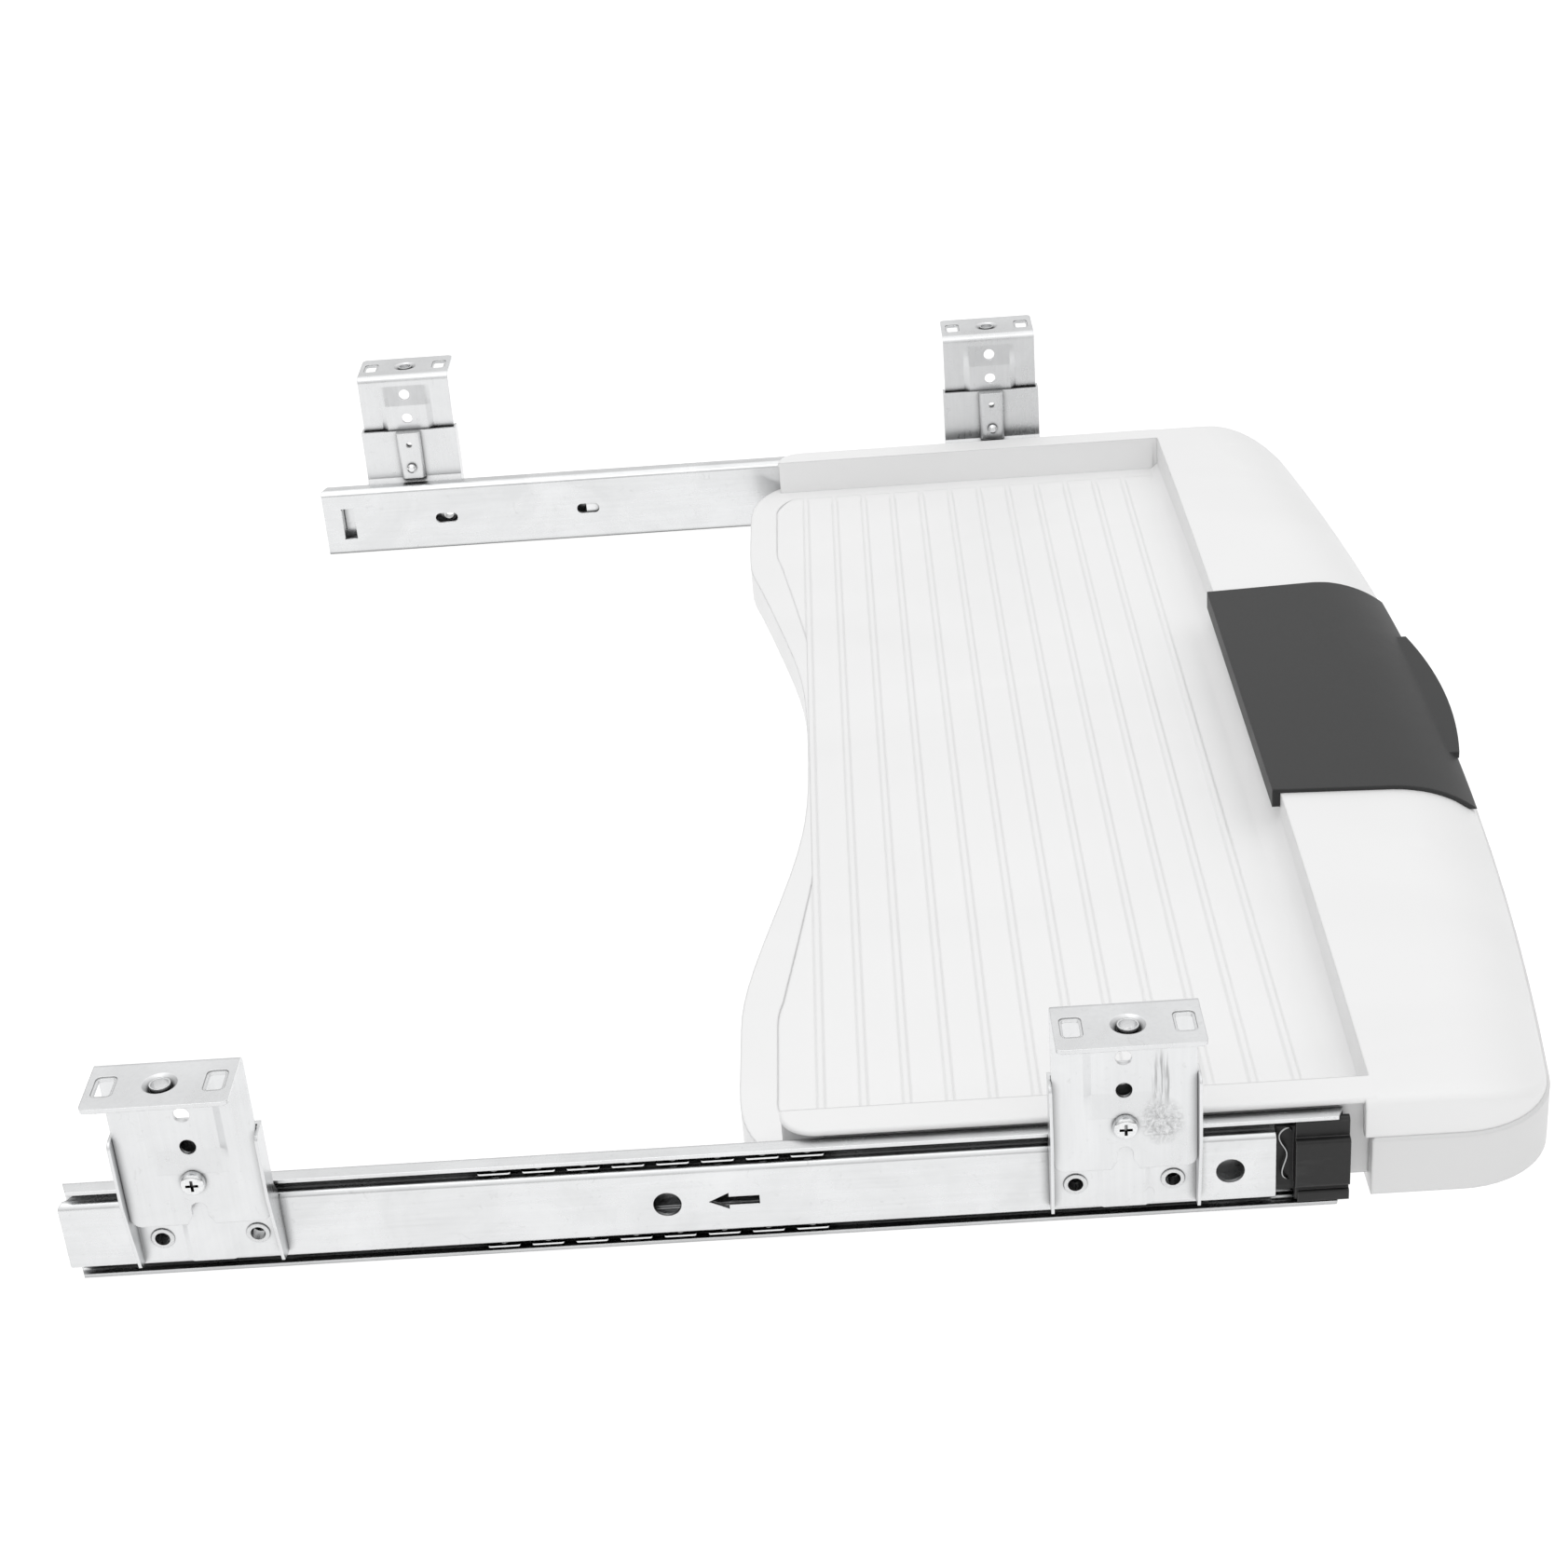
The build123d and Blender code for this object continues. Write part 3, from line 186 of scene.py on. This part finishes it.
def grey(value, tint=0.0):
    """A neutral colour, cooler where tint is above 0."""
    return (value * (1 - tint), value, value * (1 + tint), 1.0)


# ---------------------------------------------------------------- materials
def rolled_steel(name, tones, roughness, streak, scuff=None):
    """Zinc-plated sheet: cloudy plating, faint rolling streaks, painted shade in its gaps and a thin bright
    painted highlight along its edges.
    """
    steel = Shader(name, Metallic=1.0)
    clouds = steel.noise(34, 4, 0.62, distortion=0.7)
    streaks = steel.noise(700, 3, 0.6, stretch=streak)
    grain = steel.noise(1500, 2, 0.5)
    tone = steel.math("ADD", steel.math("MULTIPLY", clouds, 0.72), steel.math("MULTIPLY", streaks, 0.28))
    colour = steel.mixed(steel.ranged(tone, *STEEL_TONE_SPAN), grey(tones[0], 0.008), grey(tones[1], 0.008))
    spots = steel.ranged(steel.noise(240, 4, 0.75, distortion=1.6), 0.6, 0.72, 0.0, 0.3)
    colour = steel.mixed(spots, colour, grey(tones[0] * 0.7))
    if scuff is not None:
        colour = steel.mixed(scuffed_patch(steel, *scuff), colour, grey(0.2))
    # Painted highlight: a thin, nearly white line along the sharp edges.
    colour = steel.mixed(steel.edges(0.0004), colour, grey(0.92, 0.005))
    # Painted shade: gaps and folds turn near-black.
    colour = steel.mixed(steel.painted_shade_mask(STEEL_SHADE_PAINT_DEPTH), grey(0.035), colour)
    rough = steel.ranged(tone, *STEEL_TONE_SPAN, *roughness)
    normal = steel.bump(steel.math("ADD", grain, clouds), 0.00001, 0.4, steel.soft_normal(0.0004))
    return steel.use(Base_Color=colour, Roughness=rough, Normal=normal)


def scuffed_patch(steel, centre, reach):
    """A worn, grainy mark on one bracket, beside its screw, with a drag mark above it."""
    grains = steel.ranged(steel.noise(520, 5, 0.8, distortion=1.4), 0.4, 0.62)
    patch = steel.math("MULTIPLY", steel.near_point(centre, reach), grains)
    scratches = steel.ranged(steel.noise(900, 3, 0.6, stretch=(1, 1, 0.06)), 0.48, 0.6)
    above = (centre[0], centre[1], centre[2] + 1.5 * reach[2])
    drag = steel.near_point(above, (reach[0], 0.5 * reach[1], 1.4 * reach[2]))
    lines = steel.math("MULTIPLY", drag, scratches)
    return steel.math("MULTIPLY", steel.math("MAXIMUM", patch, lines), 0.55)


def moulded_white(name, base, shade):
    """White ABS: a fine spark-eroded grain, very faint flow marks, a low satin sheen."""
    white = Shader(name, IOR=1.52)
    grain = white.noise(2600, 3, 0.6)
    flow = white.noise(9, 3, 0.55, stretch=(1, 0.5, 1), distortion=0.8)
    colour = white.mixed(white.ranged(flow, *NOISE_SPAN), base, shade)
    rough = white.ranged(white.math("ADD", grain, flow), *GRAIN_SPAN, 0.34, 0.5)
    normal = white.bump(grain, 0.000035, 0.45, white.soft_normal(0.0011))
    return white.use(Base_Color=colour, Roughness=rough, Normal=normal)


def soft_grip(name):
    """Charcoal soft-touch plastic: a dense fine grain, and edges made paler by a painted highlight."""
    grip = Shader(name, IOR=1.36, Sheen_Weight=0.05, Sheen_Roughness=0.5)
    grain = grip.noise(3200, 3, 0.65)
    patches = grip.noise(38, 4, 0.6, distortion=0.5)
    body = grip.mixed(grip.ranged(patches, *NOISE_SPAN), grey(0.026, 0.01), grey(0.034, 0.01))
    # Painted highlight: the edges turn paler.
    edge_highlighted = grip.mixed(grip.edges(0.0009), body, grey(0.07))
    rough = grip.ranged(grip.math("ADD", grain, patches), *GRAIN_SPAN, 0.42, 0.6)
    normal = grip.bump(grain, 0.00005, 0.6, grip.soft_normal(0.0009))
    return grip.use(Base_Color=edge_highlighted, Roughness=rough, Normal=normal)


def black_moulding(name):
    """Glass-filled black plastic: swirled filler marks, scuffs, and grey edges that are a painted highlight.
    """
    black = Shader(name, IOR=1.42)
    swirl = black.noise(420, 4, 0.6, distortion=1.0)
    scuffs = black.ranged(black.noise(160, 3, 0.7, stretch=(1, 0.25, 1)), 0.58, 0.74)
    body = black.mixed(black.ranged(swirl, *NOISE_SPAN), grey(0.01), grey(0.016))
    scuffed = black.mixed(black.math("MULTIPLY", scuffs, 0.3), body, grey(0.06))
    # Painted highlight: the edges turn grey.
    edge_highlighted = black.mixed(black.edges(0.0006), scuffed, grey(0.1))
    rough = black.ranged(swirl, *NOISE_SPAN, 0.36, 0.52)
    normal = black.bump(swirl, 0.00006, 0.5, black.soft_normal(0.0006))
    return black.use(Base_Color=edge_highlighted, Roughness=rough, Normal=normal)


def bright_steel(name, roughness, tone):
    """Polished or plated small parts: fine turning marks, with painted shade darkening their recesses."""
    bright = Shader(name, Metallic=1.0)
    marks = bright.noise(1800, 3, 0.6, stretch=(0.2, 1, 1))
    colour = bright.mixed(bright.ranged(marks, 0.35, 0.65), grey(tone * 0.86, 0.01), grey(tone, 0.005))
    # Painted shade: recesses turn dark.
    colour = bright.mixed(bright.painted_shade_mask(SMALL_SHADE_PAINT_DEPTH), grey(0.05), colour)
    rough = bright.ranged(marks, *NOISE_SPAN, roughness * 0.7, roughness * 1.3)
    normal = bright.bump(marks, 0.000012, 0.5)
    return bright.use(Base_Color=colour, Roughness=rough, Normal=normal)


def scuff_centre():
    """On the upright of the near front bracket, measured from its box's lowest corner."""
    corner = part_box(SCUFFED_BRACKET)[0]
    return tuple(start + step for start, step in zip(corner, SCUFF_FROM_CORNER))


def make_materials():
    scuff = (scuff_centre(), SCUFF_REACH)
    return {
        "bracket_steel": rolled_steel("bracket_steel", (0.7, 0.8), (0.24, 0.4), (1, 1, 0.05), scuff),
        "slide_steel": rolled_steel("slide_steel", (0.69, 0.8), (0.18, 0.34), (1, 0.04, 1)),
        "cage_steel": bright_steel("cage_steel", 0.2, 0.86),
        "ball_steel": bright_steel("ball_steel", 0.06, 0.9),
        # The spring clip is given a dark tone as painted shade for the dark cavity it sits in.
        "spring_steel": bright_steel("spring_steel", 0.2, 0.45),
        "rivet_steel": bright_steel("rivet_steel", 0.3, 0.72),
        "screw_zinc": bright_steel("screw_zinc", 0.14, 0.84),
        "white_abs": moulded_white("white_abs", grey(0.84), grey(0.80)),
        # The skirt is the deck's white ABS in a darker copy: painted shade for its sides.
        "skirt_abs": moulded_white("skirt_abs", grey(0.71), grey(0.685)),
        "soft_black": soft_grip("soft_black"),
        "black_plastic": black_moulding("black_plastic"),
    }


def dress(materials):
    """Gives every CAD node the detailed material of its slot."""
    for part in frame["record"]["subparts"]:
        node = frame["nodes"][part["node"]]
        for slot in node.material_slots:
            slot.material = materials[part["material_slot"]]


# ---------------------------------------------------------------- studio
def overhead_light():
    """A large, weak light above the object."""
    data = bpy.data.lights.new("overhead", "AREA")
    data.shape = "RECTANGLE"
    data.size, data.size_y = OVERHEAD_SIZE
    data.energy = OVERHEAD_POWER
    light = bpy.data.objects.new("overhead", data)
    light.location = OVERHEAD_AT
    aim = Vector(OVERHEAD_TARGET) - Vector(OVERHEAD_AT)
    light.rotation_euler = aim.to_track_quat("-Z", "Y").to_euler()
    bpy.context.scene.collection.objects.link(light)


def sky():
    """A soft tent: dim at the horizon, bright overhead, with a little more light along the slides' sides."""
    world = bpy.data.worlds.new("studio")
    bpy.context.scene.world = world
    world.use_nodes = True
    tree = world.node_tree
    split = tree.nodes.new("ShaderNodeSeparateXYZ")
    tree.links.new(tree.nodes.new("ShaderNodeTexCoord").outputs["Generated"], split.inputs["Vector"])
    height = sky_ramp(tree, split.outputs["Z"], (0.0, 1.0), SKY_RANGE)
    near = sky_ramp(tree, split.outputs["X"], (-1.0, 0.0), (SKY_NEAR_SIDE, 0.0))
    far = sky_ramp(tree, split.outputs["X"], (0.0, 1.0), (0.0, SKY_FAR_SIDE))
    strength = added(tree, height, added(tree, near, far))
    tree.links.new(strength, tree.nodes["Background"].inputs["Strength"])
    tree.nodes["Background"].inputs["Color"].default_value = (1.0, 1.0, 1.0, 1.0)


def sky_ramp(tree, source, span, result):
    ramp = tree.nodes.new("ShaderNodeMapRange")
    for socket, number in zip(("From Min", "From Max", "To Min", "To Max"), (*span, *result)):
        ramp.inputs[socket].default_value = number
    tree.links.new(source, ramp.inputs["Value"])
    return ramp.outputs["Result"]


def added(tree, a, b):
    node = tree.nodes.new("ShaderNodeMath")
    for source, socket in zip((a, b), node.inputs):
        tree.links.new(source, socket)
    return node.outputs["Value"]


def light_table():
    """The pale floor: a lit white table, so that nothing casts a shadow on it."""
    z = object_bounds()[0][2] - FLOOR_GAP
    corners = [(-FLOOR_REACH, -FLOOR_REACH, z), (FLOOR_REACH, -FLOOR_REACH, z)]
    corners += [(FLOOR_REACH, FLOOR_REACH, z), (-FLOOR_REACH, FLOOR_REACH, z)]
    mesh = bpy.data.meshes.new("floor")
    mesh.from_pydata(corners, [], [(0, 1, 2, 3)])
    floor = bpy.data.objects.new("floor", mesh)
    bpy.context.scene.collection.objects.link(floor)
    paper = Shader("floor_paper", Roughness=0.9, Emission_Strength=FLOOR_GLOW)
    paper.bsdf.inputs["Emission Color"].default_value = grey(1.0)
    fibres = paper.noise(180, 4, 0.6)
    mesh.materials.append(paper.use(Base_Color=paper.mixed(fibres, grey(0.1), grey(0.12))))
    floor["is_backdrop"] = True


def studio():
    sky()
    light_table()
    overhead_light()
    bpy.context.scene.view_settings.view_transform = "Standard"
    bpy.context.scene.view_settings.look = "None"


def camera():
    data = bpy.data.cameras.new("camera")
    data.sensor_width = 36.0
    data.lens = CAMERA_LENS
    data.clip_start = 0.02
    data.clip_end = 30.0
    eye = bpy.data.objects.new("camera", data)
    aim = (CAMERA_TARGET - CAMERA_AT).to_track_quat("-Z", "Y")
    turned = aim @ Quaternion((0, 0, 1), CAMERA_ROLL)
    eye.matrix_world = Matrix.Translation(CAMERA_AT) @ turned.to_matrix().to_4x4()
    bpy.context.scene.collection.objects.link(eye)
    bpy.context.scene.camera = eye


dress(make_materials())
studio()
camera()
